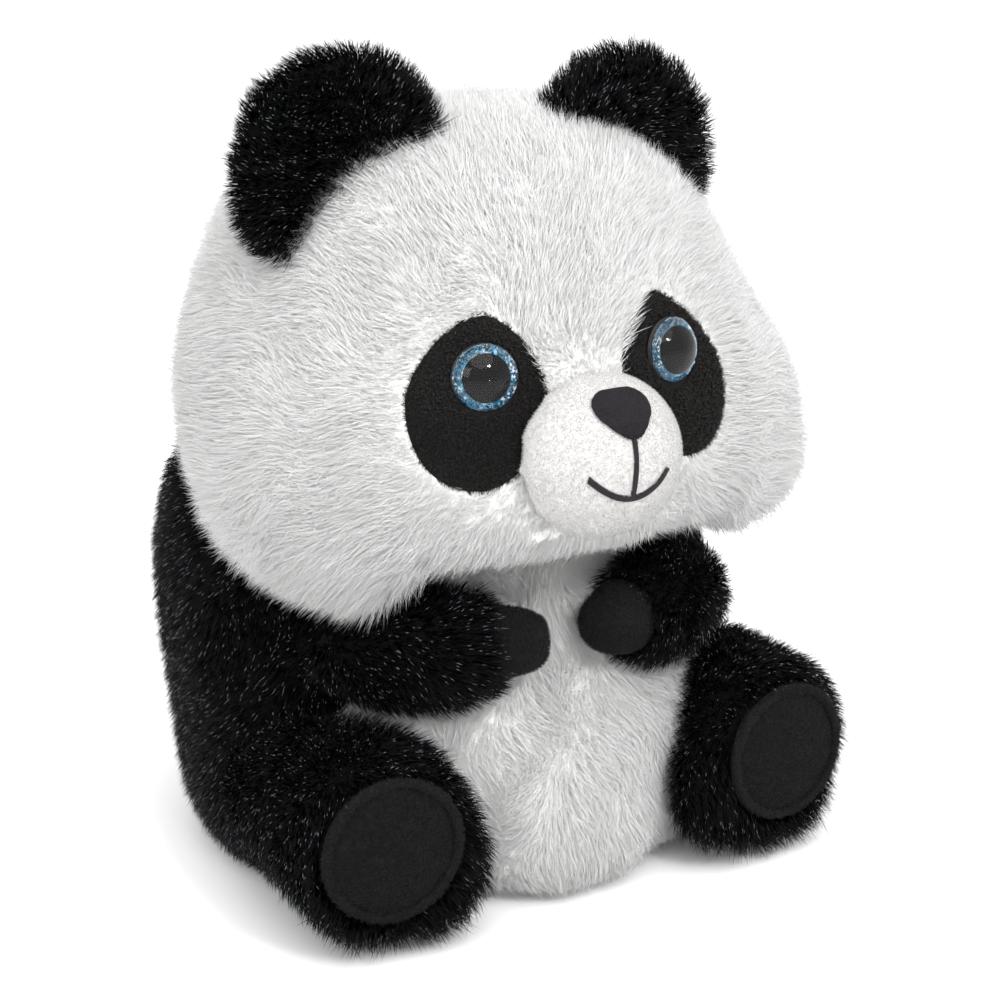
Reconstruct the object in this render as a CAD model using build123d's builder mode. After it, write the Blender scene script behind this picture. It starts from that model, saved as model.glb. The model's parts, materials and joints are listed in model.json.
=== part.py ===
"""Sitting plush panda: sewn covers over stuffing, with safety eyes, in eight bodies.

Frame: +Z up, the face looks along -Y, the toy's left side is +X.
The origin is the middle of the flat seat, on the ground. Sizes are millimetres.
"""

from build123d import *
import os
from math import cos, radians, sin

# ---- driving dimensions -------------------------------------------------------------------

CLOTH = 2.0  # thickness of a plush cover, backing and dense part of the pile
GAP = 0.3  # clearance between neighbouring pieces
SEAM = 0.2  # half of the space left along a seam between two panels
JOINT_GAP = 0.8  # clearance between a limb and the torso

# A soft form is a stack of ellipses, each (height, half width, half depth, centre offset).
TORSO_SECTIONS = [
    (0, 69, 65, -6),
    (8, 76, 71, -6),
    (30, 79, 70, -4),
    (60, 79, 63, 7),
    (88, 77, 59, 12),
    (106, 70, 53, 14),
    (118, 59, 43, 13),
    (127, 43, 32, 10),
    (132, 24, 18, 8),
]
HEAD_SECTIONS = [
    (76, 58, 38, -21),
    (85, 71, 45, -22),
    (96, 81, 52, -23),
    (108, 86, 56, -22),
    (125, 88, 58, -18),
    (143, 80, 60, -11),
    (165, 70, 57, -6),
    (181, 60, 50, -6),
    (192, 46, 39, -7),
    (199, 30, 25, -8),
    (202, 13, 11, -8),
]
# Limbs and muzzle are stacked along their own axis: (distance, radius).
ARM_STATIONS = [(-6, 5), (0, 9.5), (12, 14), (26, 15), (38, 12.5), (44, 10.5), (51, 9), (56, 5)]
LEG_STATIONS = [(-16, 11), (-6, 21), (8, 24.5), (34, 23.5), (54, 23.5), (60, 22.5)]
MUZZLE_STATIONS = [(-6, 20.5), (2, 21.5), (10, 20), (17, 15.5), (22, 9), (24, 4)]

# Slanted plane of the neck seam, on which the head turns.
NECK_POINT = (0, 0, 104.5)
NECK_TILT = 18  # degrees, higher at the back

SEAT_THICKNESS = 2.0
BELLY_SEAM_Y = -40  # the belly panel lies in front of this
HEAD_SEAM_Y = 8  # the back panel of the head lies behind this

PELLET_BAG_RADIUS = 40
PELLET_BAG_HEIGHT = 18
PELLET_BAG_FLOOR = 8

EYE_X, EYE_Y, EYE_Z = 27.5, -68.5, 144
EYE_TURN = 15  # degrees outward
EYE_RISE = 8  # degrees upward
EYE_RADIUS = 8.3
EYE_DOME_HEIGHT = 4.6
PUPIL_RADIUS = 5.6
POST_RADIUS = 2.2
POST_LENGTH = 14
WASHER_RADIUS = 6.0

PATCH_X, PATCH_Z = 29.5, 138.0
PATCH_HALF_WIDTH, PATCH_HALF_HEIGHT = 18.5, 22.5
PATCH_TILT = 6  # degrees, lower end outward
PATCH_THICKNESS = 1.0

MUZZLE_WIDE, MUZZLE_TALL = 1.10, 1.01
MUZZLE_POINT = (0, -71, 122)
NOSE_POINT = (0, -90, 135)
NOSE_RISE = 37  # degrees, the nose lies on the upper front of the muzzle
NOSE_HALF_WIDTH, NOSE_HEIGHT = 14, 18.5
NOSE_CORNER = 5.5
MOUTH_Z = 115.5
MOUTH_HALF_WIDTH, MOUTH_RISE = 11.5, 5
THREAD_WIDTH = 1.4
THREAD_THICKNESS = 0.7

EAR_CENTRE = (42, -27, 191)
EAR_RADIUS = 26
EAR_THICKNESS = 10
EAR_TURN = 8  # degrees, faces a little outward
EAR_CLEARANCE = 6

SHOULDER = (55, -38, 67)
PAW = (12, -63, 71)
PAW_SEAM = 41  # distance from the shoulder to the seam of the paw tip

HIP = (55.5, -16, 28)
SOLE_TURN = 4  # degrees outward
SOLE_RISE = 2  # degrees upward
FOOT_PAD_RADIUS = 18.5
FOOT_PAD_THICKNESS = 3.0

NECK_PLANE = Plane(
    origin=NECK_POINT,
    x_dir=(1, 0, 0),
    z_dir=(0, -sin(radians(NECK_TILT)), cos(radians(NECK_TILT))),
)
SIDES = {"left": 1, "right": -1}

os.makedirs("parts", exist_ok=True)


# ---- shared shapes ------------------------------------------------------------------------


def stacked_form(sections, inset=0.0):
    """Closed form through horizontal ellipses, drawn in on every side by inset."""
    low, high = sections[0][0], sections[-1][0]
    with BuildPart() as form:
        for height, half_width, half_depth, offset in sections:
            level = min(max(height, low + inset), high - inset)
            with BuildSketch(Plane.XY.offset(level)):
                with Locations((0, offset)):
                    Ellipse(half_width - inset, half_depth - inset)
        loft()
    return form.part


def axial_form(plane, stations, inset=0.0, wide=1.0, tall=1.0):
    """Form about the plane's normal, round or oval, drawn in on every side by inset."""
    low, high = stations[0][0], stations[-1][0]
    with BuildPart() as form:
        for distance, radius in stations:
            level = min(max(distance, low + inset), high - inset)
            with BuildSketch(plane.offset(level)):
                Ellipse(radius * wide - inset, radius * tall - inset)
        loft()
    return form.part


def save(builder, name):
    """Label one finished piece and write it."""
    builder.part.label = name
    export_step(builder.part, f"parts/{name}.step")


def facing(origin, turn, rise=0.0):
    """Plane whose normal looks along -Y, turned toward +X and raised, in degrees."""
    turn, rise = radians(turn), radians(rise)
    normal = (sin(turn) * cos(rise), -cos(turn) * cos(rise), sin(rise))
    return Plane(origin=origin, x_dir=(cos(turn), sin(turn), 0), z_dir=normal)


# ---- torso --------------------------------------------------------------------------------

torso_outer = stacked_form(TORSO_SECTIONS)
torso_inner = stacked_form(TORSO_SECTIONS, CLOTH)
torso_filling = stacked_form(TORSO_SECTIONS, CLOTH + GAP)
torso_room = stacked_form(TORSO_SECTIONS, -JOINT_GAP)

with BuildPart() as torso_shell:
    add(torso_outer)
    add(torso_inner, mode=Mode.SUBTRACT)
    split(bisect_by=NECK_PLANE.offset(-GAP), keep=Keep.BOTTOM)
    split(bisect_by=Plane.XY.offset(SEAT_THICKNESS + GAP), keep=Keep.TOP)

with BuildPart() as torso_back_panel:
    add(torso_shell.part)
    split(bisect_by=Plane.XZ.offset(-BELLY_SEAM_Y - SEAM), keep=Keep.BOTTOM)
save(torso_back_panel, "torso_back_panel")

with BuildPart() as belly_panel:
    add(torso_shell.part)
    split(bisect_by=Plane.XZ.offset(-BELLY_SEAM_Y + SEAM), keep=Keep.TOP)
save(belly_panel, "belly_panel")

with BuildPart() as base_panel:
    add(torso_outer)
    split(bisect_by=Plane.XY.offset(SEAT_THICKNESS), keep=Keep.BOTTOM)
save(base_panel, "base_panel")

with BuildPart() as pellet_bag:
    with BuildSketch(Plane.XY.offset(PELLET_BAG_FLOOR)):
        Circle(PELLET_BAG_RADIUS)
    extrude(amount=PELLET_BAG_HEIGHT)
    fillet(pellet_bag.edges(), radius=PELLET_BAG_HEIGHT * 0.4)
save(pellet_bag, "pellet_bag")

with BuildPart() as torso_stuffing:
    add(torso_filling)
    split(bisect_by=NECK_PLANE.offset(-GAP), keep=Keep.BOTTOM)
    split(bisect_by=Plane.XY.offset(SEAT_THICKNESS + GAP), keep=Keep.TOP)
    with BuildSketch(Plane.XY.offset(PELLET_BAG_FLOOR - GAP)):
        Circle(PELLET_BAG_RADIUS + GAP)
    extrude(amount=PELLET_BAG_HEIGHT + 2 * GAP, mode=Mode.SUBTRACT)
save(torso_stuffing, "torso_stuffing")


# ---- eyes ---------------------------------------------------------------------------------


def eye_plane(side):
    """Plane through the rim of one eye, looking out of the face."""
    return facing((side * EYE_X, EYE_Y, EYE_Z), side * EYE_TURN, EYE_RISE)


def eye_pieces(name, side):
    """Clear dome, glitter ring, pupil, backing cup with its post, and washer of one eye."""
    rim = eye_plane(side)
    insert_thickness = 0.6
    dome_radius = (EYE_RADIUS**2 + EYE_DOME_HEIGHT**2) / (2 * EYE_DOME_HEIGHT)

    with BuildPart() as lens:
        with BuildSketch(rim):
            Circle(EYE_RADIUS)
        extrude(amount=EYE_DOME_HEIGHT)
        with Locations(rim.offset(EYE_DOME_HEIGHT - dome_radius)):
            Sphere(dome_radius, mode=Mode.INTERSECT)
    save(lens, f"eye_lens_{name}")

    with BuildPart() as glitter:
        with BuildSketch(rim.offset(-insert_thickness)):
            Circle(EYE_RADIUS - 0.3)
            Circle(PUPIL_RADIUS + 0.05, mode=Mode.SUBTRACT)
        extrude(amount=insert_thickness)
    save(glitter, f"eye_glitter_{name}")

    with BuildPart() as pupil:
        with BuildSketch(rim.offset(-insert_thickness)):
            Circle(PUPIL_RADIUS)
        extrude(amount=insert_thickness)
    save(pupil, f"eye_pupil_{name}")

    with BuildPart() as shank:
        with BuildSketch(rim.offset(-insert_thickness)):
            Circle(EYE_RADIUS)
        extrude(amount=-1.0)
        with BuildSketch(rim.offset(-insert_thickness - 1.0)):
            Circle(POST_RADIUS)
        extrude(amount=-POST_LENGTH)
    save(shank, f"eye_shank_{name}")

    with BuildPart() as washer:
        with BuildSketch(rim.offset(-10)):
            Circle(WASHER_RADIUS)
            Circle(POST_RADIUS + 0.05, mode=Mode.SUBTRACT)
        extrude(amount=-1.2)
    save(washer, f"eye_washer_{name}")


def eye_clearance(side):
    """Space that one eye takes up in the cloth and the filling."""
    rim = eye_plane(side)
    with BuildPart() as room:
        with BuildSketch(rim.offset(-1.6 - GAP)):
            Circle(EYE_RADIUS + GAP)
        extrude(amount=20)
        with BuildSketch(rim):
            Circle(POST_RADIUS + GAP)
        extrude(amount=-17)
        with BuildSketch(rim.offset(-9.5)):
            Circle(WASHER_RADIUS + GAP)
        extrude(amount=-2.2)
    return room.part


for name, side in SIDES.items():
    eye_pieces(name, side)
eye_room = [eye_clearance(side) for side in SIDES.values()]


# ---- head ---------------------------------------------------------------------------------

head_outer = stacked_form(HEAD_SECTIONS)
head_inner = stacked_form(HEAD_SECTIONS, CLOTH)
head_filling = stacked_form(HEAD_SECTIONS, CLOTH + GAP)
head_patch_inner = stacked_form(HEAD_SECTIONS, -SEAM)
head_patch_outer = stacked_form(HEAD_SECTIONS, -SEAM - PATCH_THICKNESS)

with BuildPart() as head_shell:
    add(head_outer)
    add(head_inner, mode=Mode.SUBTRACT)
    split(bisect_by=NECK_PLANE.offset(GAP), keep=Keep.TOP)
    add(eye_room, mode=Mode.SUBTRACT)

with BuildPart() as head_front:
    add(head_shell.part)
    split(bisect_by=Plane.XZ.offset(-HEAD_SEAM_Y + SEAM), keep=Keep.TOP)

with BuildPart() as head_back_panel:
    add(head_shell.part)
    split(bisect_by=Plane.XZ.offset(-HEAD_SEAM_Y - SEAM), keep=Keep.BOTTOM)
save(head_back_panel, "head_back_panel")

with BuildPart() as head_left_panel:
    add(head_front.part)
    split(bisect_by=Plane.YZ.offset(SEAM), keep=Keep.TOP)
save(head_left_panel, "head_left_panel")

with BuildPart() as head_right_panel:
    add(head_front.part)
    split(bisect_by=Plane.YZ.offset(-SEAM), keep=Keep.BOTTOM)
save(head_right_panel, "head_right_panel")

with BuildPart() as head_stuffing:
    add(head_filling)
    split(bisect_by=NECK_PLANE.offset(GAP), keep=Keep.TOP)
    add(eye_room, mode=Mode.SUBTRACT)
save(head_stuffing, "head_stuffing")

# ---- muzzle, nose and mouth ---------------------------------------------------------------

muzzle_plane = facing(MUZZLE_POINT, 0, -4)


def muzzle_form(inset=0.0):
    """Oval ball of the muzzle, drawn in by inset."""
    return axial_form(muzzle_plane, MUZZLE_STATIONS, inset, MUZZLE_WIDE, MUZZLE_TALL)


muzzle_outer = muzzle_form()
muzzle_inner = muzzle_form(CLOTH)
muzzle_filling = muzzle_form(CLOTH + GAP)
muzzle_room = muzzle_form(-GAP)
head_room = stacked_form(HEAD_SECTIONS, -GAP)

with BuildPart() as muzzle_cover:
    add(muzzle_outer)
    add(muzzle_inner, mode=Mode.SUBTRACT)
    add(head_room, mode=Mode.SUBTRACT)
save(muzzle_cover, "muzzle_cover")

with BuildPart() as muzzle_stuffing:
    add(muzzle_filling)
    add(head_room, mode=Mode.SUBTRACT)
save(muzzle_stuffing, "muzzle_stuffing")

with BuildPart() as muzzle_layer:
    add(muzzle_form(-THREAD_THICKNESS))
    add(muzzle_outer, mode=Mode.SUBTRACT)

nose_plane = facing(NOSE_POINT, 0, NOSE_RISE)
with BuildPart() as nose_patch:
    with BuildSketch(nose_plane) as nose_outline:
        with BuildLine():
            Polyline(
                (-NOSE_HALF_WIDTH, NOSE_HEIGHT / 2),
                (NOSE_HALF_WIDTH, NOSE_HEIGHT / 2),
                (0, -NOSE_HEIGHT / 2),
                close=True,
            )
        make_face()
        fillet(nose_outline.vertices(), radius=NOSE_CORNER)
    extrude(amount=NOSE_HEIGHT, both=True)
    add(muzzle_layer.part, mode=Mode.INTERSECT)
save(nose_patch, "nose_patch")

with BuildPart() as mouth_thread:
    with BuildSketch(Plane.XZ.offset(-MUZZLE_POINT[1])):
        with BuildLine() as smile:
            ThreePointArc(
                (-MOUTH_HALF_WIDTH, MOUTH_Z + MOUTH_RISE),
                (0, MOUTH_Z),
                (MOUTH_HALF_WIDTH, MOUTH_Z + MOUTH_RISE),
            )
            Line((0, MOUTH_Z), (0, NOSE_POINT[2]))
        trace(line_width=THREAD_WIDTH)
    extrude(amount=MUZZLE_STATIONS[-1][0] + 5)
    add(muzzle_layer.part, mode=Mode.INTERSECT)
    add(nose_patch.part, mode=Mode.SUBTRACT)
save(mouth_thread, "mouth_thread")

# ---- eye patches --------------------------------------------------------------------------

for name, side in SIDES.items():
    with BuildPart() as eye_patch:
        with BuildSketch(Plane.XZ):
            with Locations(Location((side * PATCH_X, PATCH_Z, 0), (0, 0, side * PATCH_TILT))):
                Ellipse(PATCH_HALF_WIDTH, PATCH_HALF_HEIGHT)
        extrude(amount=100)
        add(head_patch_outer, mode=Mode.INTERSECT)
        add(head_patch_inner, mode=Mode.SUBTRACT)
        add(muzzle_room, mode=Mode.SUBTRACT)
        add(eye_room, mode=Mode.SUBTRACT)
    save(eye_patch, f"eye_patch_{name}")

# ---- ears ---------------------------------------------------------------------------------

ear_limit = stacked_form(HEAD_SECTIONS, -EAR_CLEARANCE)

for name, side in SIDES.items():
    middle = facing((side * EAR_CENTRE[0], EAR_CENTRE[1], EAR_CENTRE[2]), side * EAR_TURN)
    with BuildPart() as ear:
        with BuildSketch(middle):
            Circle(EAR_RADIUS)
        extrude(amount=EAR_THICKNESS / 2, both=True)
        fillet(ear.edges().filter_by(GeomType.CIRCLE), radius=EAR_THICKNESS * 0.4)
        add(ear_limit, mode=Mode.SUBTRACT)

    with BuildPart() as ear_front:
        add(ear.part)
        split(bisect_by=middle.offset(SEAM), keep=Keep.TOP)
    save(ear_front, f"ear_front_{name}")

    with BuildPart() as ear_back:
        add(ear.part)
        split(bisect_by=middle.offset(-SEAM), keep=Keep.BOTTOM)
    save(ear_back, f"ear_back_{name}")

# ---- arms ---------------------------------------------------------------------------------

for name, side in SIDES.items():
    shoulder = Vector(side * SHOULDER[0], SHOULDER[1], SHOULDER[2])
    paw = Vector(side * PAW[0], PAW[1], PAW[2])
    along = Plane(origin=shoulder, z_dir=paw - shoulder)

    with BuildPart() as arm_shell:
        add(axial_form(along, ARM_STATIONS))
        add(axial_form(along, ARM_STATIONS, CLOTH), mode=Mode.SUBTRACT)
        add(torso_room, mode=Mode.SUBTRACT)

    with BuildPart() as arm_sleeve:
        add(arm_shell.part)
        split(bisect_by=along.offset(PAW_SEAM - SEAM), keep=Keep.BOTTOM)
    save(arm_sleeve, f"arm_sleeve_{name}")

    with BuildPart() as paw_tip:
        add(arm_shell.part)
        split(bisect_by=along.offset(PAW_SEAM + SEAM), keep=Keep.TOP)
    save(paw_tip, f"paw_tip_{name}")

    with BuildPart() as arm_stuffing:
        add(axial_form(along, ARM_STATIONS, CLOTH + GAP))
        add(torso_room, mode=Mode.SUBTRACT)
    save(arm_stuffing, f"arm_stuffing_{name}")

# ---- legs ---------------------------------------------------------------------------------

SOLE_DISTANCE = LEG_STATIONS[-1][0]

for name, side in SIDES.items():
    hip = facing((side * HIP[0], HIP[1], HIP[2]), side * SOLE_TURN, SOLE_RISE)

    with BuildPart() as leg_cover:
        add(axial_form(hip, LEG_STATIONS))
        add(axial_form(hip, LEG_STATIONS, CLOTH), mode=Mode.SUBTRACT)
        add(torso_room, mode=Mode.SUBTRACT)
    save(leg_cover, f"leg_cover_{name}")

    with BuildPart() as leg_stuffing:
        add(axial_form(hip, LEG_STATIONS, CLOTH + GAP))
        add(torso_room, mode=Mode.SUBTRACT)
    save(leg_stuffing, f"leg_stuffing_{name}")

    with BuildPart() as foot_pad:
        with BuildSketch(hip.offset(SOLE_DISTANCE + SEAM)):
            Circle(FOOT_PAD_RADIUS)
        extrude(amount=FOOT_PAD_THICKNESS)
        rims = foot_pad.edges().filter_by(GeomType.CIRCLE).sort_by(Axis.Y)
        fillet(rims[0], radius=FOOT_PAD_THICKNESS * 0.6)
    save(foot_pad, f"foot_pad_{name}")
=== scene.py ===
import json
from math import cos, pi, radians, sin

import bmesh
import bpy
import numpy as np
from mathutils import Matrix, Vector
from mathutils.bvhtree import BVHTree


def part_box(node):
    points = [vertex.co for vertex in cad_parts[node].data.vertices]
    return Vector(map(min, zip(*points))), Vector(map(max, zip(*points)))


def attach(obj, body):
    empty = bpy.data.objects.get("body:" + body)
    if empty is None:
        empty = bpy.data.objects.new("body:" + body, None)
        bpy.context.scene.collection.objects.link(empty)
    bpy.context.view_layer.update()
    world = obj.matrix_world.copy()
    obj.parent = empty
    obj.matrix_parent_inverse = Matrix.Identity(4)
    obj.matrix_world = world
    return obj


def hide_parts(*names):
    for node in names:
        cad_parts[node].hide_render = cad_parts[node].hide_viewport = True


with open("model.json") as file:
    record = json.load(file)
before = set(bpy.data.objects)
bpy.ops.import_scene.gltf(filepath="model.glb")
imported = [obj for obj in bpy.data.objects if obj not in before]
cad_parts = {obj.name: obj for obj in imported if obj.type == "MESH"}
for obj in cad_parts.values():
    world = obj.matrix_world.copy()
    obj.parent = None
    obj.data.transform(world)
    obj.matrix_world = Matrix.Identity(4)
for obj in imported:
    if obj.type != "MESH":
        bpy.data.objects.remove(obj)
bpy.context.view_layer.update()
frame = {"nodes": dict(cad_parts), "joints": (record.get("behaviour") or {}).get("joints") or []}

# Sitting plush panda. Soft forms are remeshed from the frame, blown up by a cloth pressure
# simulation and covered with pile made of thin closed strands. Metres, +Z up, face along -Y.
# SIDES holds the panda's own left (+X) and right (-X).

MM = 0.001
JOINTS = {joint["name"]: joint for joint in frame["joints"]}
SIDES = {"left": 1, "right": -1}

# ---- measures taken from the frame ----


def middle(node):
    """Centre of a CAD node's box."""
    low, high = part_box(node)
    return (low + high) / 2


def cloud(*nodes):
    """All mesh points of some CAD nodes."""
    return np.concatenate([coordinates(frame["nodes"][node].data) for node in nodes])


def flat_normal(points, towards):
    """Direction in which a flat cloud of points is thinnest."""
    thin = np.linalg.svd(points - points.mean(0), full_matrices=False)[2][2]
    return thin if thin @ np.array(towards) > 0 else -thin


# ---- small mesh helpers ----


def link(name, mesh):
    piece = bpy.data.objects.new(name, mesh)
    bpy.context.scene.collection.objects.link(piece)
    return piece


def piece_from(work, name):
    """New piece made from a bmesh, which is freed."""
    mesh = bpy.data.meshes.new(name)
    work.to_mesh(mesh)
    work.free()
    return link(name, mesh)


def surface_tree(form):
    """Tree for rays and nearest points on a form."""
    work = bmesh.new()
    work.from_mesh(form.data)
    tree = BVHTree.FromBMesh(work)
    work.free()
    return tree


def shade_smooth(piece):
    piece.data.polygons.foreach_set("use_smooth", [True] * len(piece.data.polygons))
    piece.data.update()


def unit(vectors):
    return vectors / np.maximum(np.linalg.norm(vectors, axis=-1, keepdims=True), 1e-12)


def coordinates(mesh):
    co = np.empty(len(mesh.vertices) * 3)
    mesh.vertices.foreach_get("co", co)
    return co.reshape(-1, 3)


def set_coordinates(mesh, co):
    mesh.vertices.foreach_set("co", np.asarray(co, float).ravel())
    mesh.update()


def keep_above(co, height):
    """Lift points that are lower than height."""
    co[:, 2] = np.maximum(co[:, 2], height)


def apply_modifier(piece, kind, **settings):
    """Add one modifier, apply it, and leave the plain mesh."""
    modifier = piece.modifiers.new(kind.title(), kind)
    for key, value in settings.items():
        setattr(modifier, key, value)
    bake_modifiers(piece)


def bake_modifiers(piece):
    graph = bpy.context.evaluated_depsgraph_get()
    graph.update()
    mesh = bpy.data.meshes.new_from_object(piece.evaluated_get(graph))
    old = piece.data
    piece.modifiers.clear()
    piece.data = mesh
    bpy.data.meshes.remove(old)


def closed_form(name, nodes, voxel):
    """One closed, evenly meshed form from several CAD solids that fill the same space."""
    merged = bmesh.new()
    for node in nodes:
        merged.from_mesh(frame["nodes"][node].data)
    form = piece_from(merged, name)
    apply_modifier(form, "REMESH", mode="VOXEL", voxel_size=voxel, use_smooth_shade=True)
    keep_largest_shell(form)
    return form


def keep_largest_shell(form):
    """Drop inner shells that a remesh leaves where solids are hollow."""
    work = bmesh.new()
    work.from_mesh(form.data)
    unseen, shells = set(work.verts), []
    while unseen:
        shell, front = [], [unseen.pop()]
        while front:
            vert = front.pop()
            shell.append(vert)
            near = {edge.other_vert(vert) for edge in vert.link_edges} & unseen
            unseen -= near
            front.extend(near)
        shells.append(shell)
    shells.sort(key=len)
    for shell in shells[:-1]:
        bmesh.ops.delete(work, geom=shell, context="VERTS")
    work.to_mesh(form.data)
    work.free()


def relax(form, rounds, factor=0.5):
    """Even out the surface."""
    work = bmesh.new()
    work.from_mesh(form.data)
    for _ in range(rounds):
        bmesh.ops.smooth_vert(
            work, verts=work.verts, factor=factor, use_axis_x=True, use_axis_y=True, use_axis_z=True
        )
    work.to_mesh(form.data)
    work.free()


STRETCH_STIFFNESS, SHEAR_STIFFNESS, BENDING_STIFFNESS = 15, 5, 0.5
CLOTH_FRAMES = 20


def pressurise(form, pressure, cap):
    """Blow a form up like sewn cloth over stuffing; no point moves further than cap."""
    start = coordinates(form.data)
    cloth = form.modifiers.new("Cloth", "CLOTH")
    settings = cloth.settings
    settings.quality = 5
    settings.tension_stiffness = STRETCH_STIFFNESS
    settings.compression_stiffness = STRETCH_STIFFNESS
    settings.shear_stiffness = SHEAR_STIFFNESS
    settings.bending_stiffness = BENDING_STIFFNESS
    settings.use_pressure = True
    settings.uniform_pressure_force = pressure
    settings.effector_weights.gravity = 0
    cloth.point_cache.frame_start = 1
    cloth.point_cache.frame_end = CLOTH_FRAMES
    for number in range(1, CLOTH_FRAMES + 1):
        bpy.context.scene.frame_set(number)
    bake_modifiers(form)
    bpy.context.scene.frame_set(1)
    moved = coordinates(form.data) - start
    length = np.linalg.norm(moved, axis=1, keepdims=True)
    set_coordinates(form.data, start + moved * np.minimum(1, cap / np.maximum(length, 1e-9)))


def padded_form(name, nodes, voxel, shrink, pressure, cap, rounds):
    """Stuffed form: remesh the solids, draw them in a little, inflate, relax, subdivide once."""
    form = closed_form(name, nodes, voxel)
    relax(form, rounds)
    apply_modifier(form, "DISPLACE", strength=-shrink, mid_level=0)
    pressurise(form, pressure, cap)
    relax(form, 2)
    apply_modifier(form, "SUBSURF", levels=1, render_levels=1)
    shade_smooth(form)
    return form


def groove(form, point, normal, depth, width):
    """Draw the surface in along a sewn seam that lies in a plane."""
    co = coordinates(form.data)
    normals = np.empty(len(co) * 3)
    form.data.vertices.foreach_get("normal", normals)
    distance = (co - np.array(point)) @ np.array(normal)
    pull = depth * np.exp(-((distance / width) ** 2))
    set_coordinates(form.data, co - normals.reshape(-1, 3) * pull[:, None])


def cut(form, name, point, normal, gap=0.1 * MM):
    """Split a closed form at a seam into two closed forms; the new one is on the normal's side."""
    other = link(name, form.data.copy())
    for piece, sign in ((form, -1), (other, 1)):
        work = bmesh.new()
        work.from_mesh(piece.data)
        plane = Vector(point) + Vector(normal) * gap * sign
        found = bmesh.ops.bisect_plane(
            work,
            geom=work.verts[:] + work.edges[:] + work.faces[:],
            plane_co=plane,
            plane_no=Vector(normal),
            clear_inner=sign > 0,
            clear_outer=sign < 0,
        )
        rim = [e for e in found["geom_cut"] if isinstance(e, bmesh.types.BMEdge)]
        filled = bmesh.ops.holes_fill(work, edges=rim, sides=0)["faces"]
        for edge in rim:
            edge.smooth = False
        bmesh.ops.triangulate(work, faces=filled)
        bmesh.ops.recalc_face_normals(work, faces=work.faces)
        work.to_mesh(piece.data)
        work.free()
    return other


def inside(form, points, reach=0.0, normals=None):
    """Which points, moved out along their normals by reach, lie inside a closed form."""
    moved = points if normals is None else points + normals * reach
    co = coordinates(form.data)
    near = np.all((moved > co.min(0)) & (moved < co.max(0)), axis=1)
    tree = surface_tree(form)
    result = np.zeros(len(points), bool)
    for index in np.flatnonzero(near):
        spot = Vector(moved[index])
        place, normal, _, _ = tree.find_nearest(spot)
        result[index] = (spot - place).dot(normal) < 0
    return result


def skin(piece, body, material, nodes):
    """Finish a soft piece: material, body, and the CAD nodes it stands for and its fill, which are
    hidden.
    """
    piece.data.materials.clear()
    piece.data.materials.append(material)
    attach(piece, body)
    if nodes:
        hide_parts(*nodes)


# ---- materials ----


def new_material(name, **sockets):
    material = bpy.data.materials.new(name)
    material.use_nodes = True
    shader = material.node_tree.nodes["Principled BSDF"]
    for key, value in sockets.items():
        shader.inputs[key.replace("_", " ")].default_value = value
    return material, material.node_tree, shader


def ramp(tree, factor, low, high, low_at=0.0, high_at=1.0):
    node = tree.nodes.new("ShaderNodeValToRGB")
    tree.links.new(factor, node.inputs["Fac"])
    node.color_ramp.elements[0].position = low_at
    node.color_ramp.elements[0].color = (*low, 1)
    node.color_ramp.elements[1].position = high_at
    node.color_ramp.elements[1].color = (*high, 1)
    return node


def noise(tree, scale, detail):
    place = tree.nodes.new("ShaderNodeTexCoord")
    texture = tree.nodes.new("ShaderNodeTexNoise")
    texture.inputs["Scale"].default_value = scale
    texture.inputs["Detail"].default_value = detail
    tree.links.new(place.outputs["Object"], texture.inputs["Vector"])
    return texture.outputs["Fac"]


def math_node(tree, operation, left, right, kind="Math"):
    """Output of a math node; the right side is another output, a number or a vector."""
    node = tree.nodes.new(f"ShaderNode{kind}")
    node.operation = operation
    tree.links.new(left, node.inputs[0])
    if isinstance(right, bpy.types.NodeSocket):
        tree.links.new(right, node.inputs[1])
    else:
        node.inputs[1].default_value = right
    return node.outputs[0]


def bump(tree, shader, height, strength, distance):
    node = tree.nodes.new("ShaderNodeBump")
    node.inputs["Strength"].default_value = strength
    node.inputs["Distance"].default_value = distance
    tree.links.new(height, node.inputs["Height"])
    tree.links.new(node.outputs["Normal"], shader.inputs["Normal"])


def cloth_material(name, low, high, scale, depth, **sockets):
    """Backing or short-pile cloth: mottled colour and a fine fibre bump."""
    material, tree, shader = new_material(name, **sockets)
    colour = ramp(tree, noise(tree, scale, 4), low, high, 0.35, 0.65)
    tree.links.new(colour.outputs["Color"], shader.inputs["Base Color"])
    bump(tree, shader, noise(tree, scale * 4, 6), 0.8, depth)
    return material


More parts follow.
